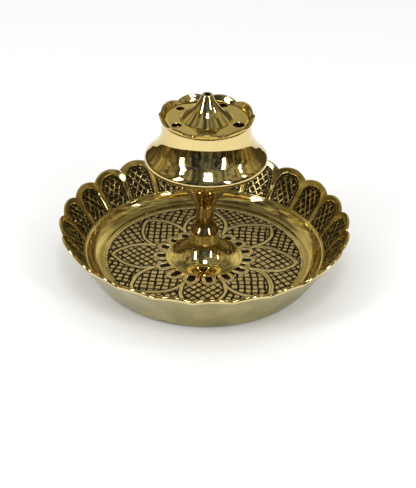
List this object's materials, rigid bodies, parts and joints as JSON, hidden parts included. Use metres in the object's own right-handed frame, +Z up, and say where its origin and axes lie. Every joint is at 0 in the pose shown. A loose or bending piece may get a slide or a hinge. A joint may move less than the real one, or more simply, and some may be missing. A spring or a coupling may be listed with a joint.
{
  "type": "incense burner",
  "caption": "Polished brass incense burner: scalloped ash dish with a patterned floor, bell foot, turned stem and a scalloped cup with a lift-off cone lid that holds a stick.",
  "frame": {"origin": "centre of the dish's foot ring, on the surface that the burner stands on", "axes": "+Z up along the stem; +X to the right and -Y towards the viewer in the usual three-quarter view"},
  "size_m": [0.1404, 0.1404, 0.0933],
  "materials": {
    "dish_brass": "cast and chased, polished ribs over dark patina",
    "polished_brass": "turned and mirror polished",
    "fastener_brass": "dull, unpolished",
    "zinc_steel": "zinc plated"
  },
  "bodies": {
    "burner": {"dish": "dish_brass", "bell_foot": "polished_brass", "stem": "polished_brass", "cup": "polished_brass", "tie_screw": "fastener_brass", "washer": "zinc_steel", "hex_nut": "zinc_steel"},
    "lid": {"lid": "polished_brass"}
  },
  "joints": [
    {"name": "lid_lift", "type": "slide", "parent": "burner", "child": "lid", "axis": [0, 0, 1], "range_m": [0, 0.05]}
  ]
}
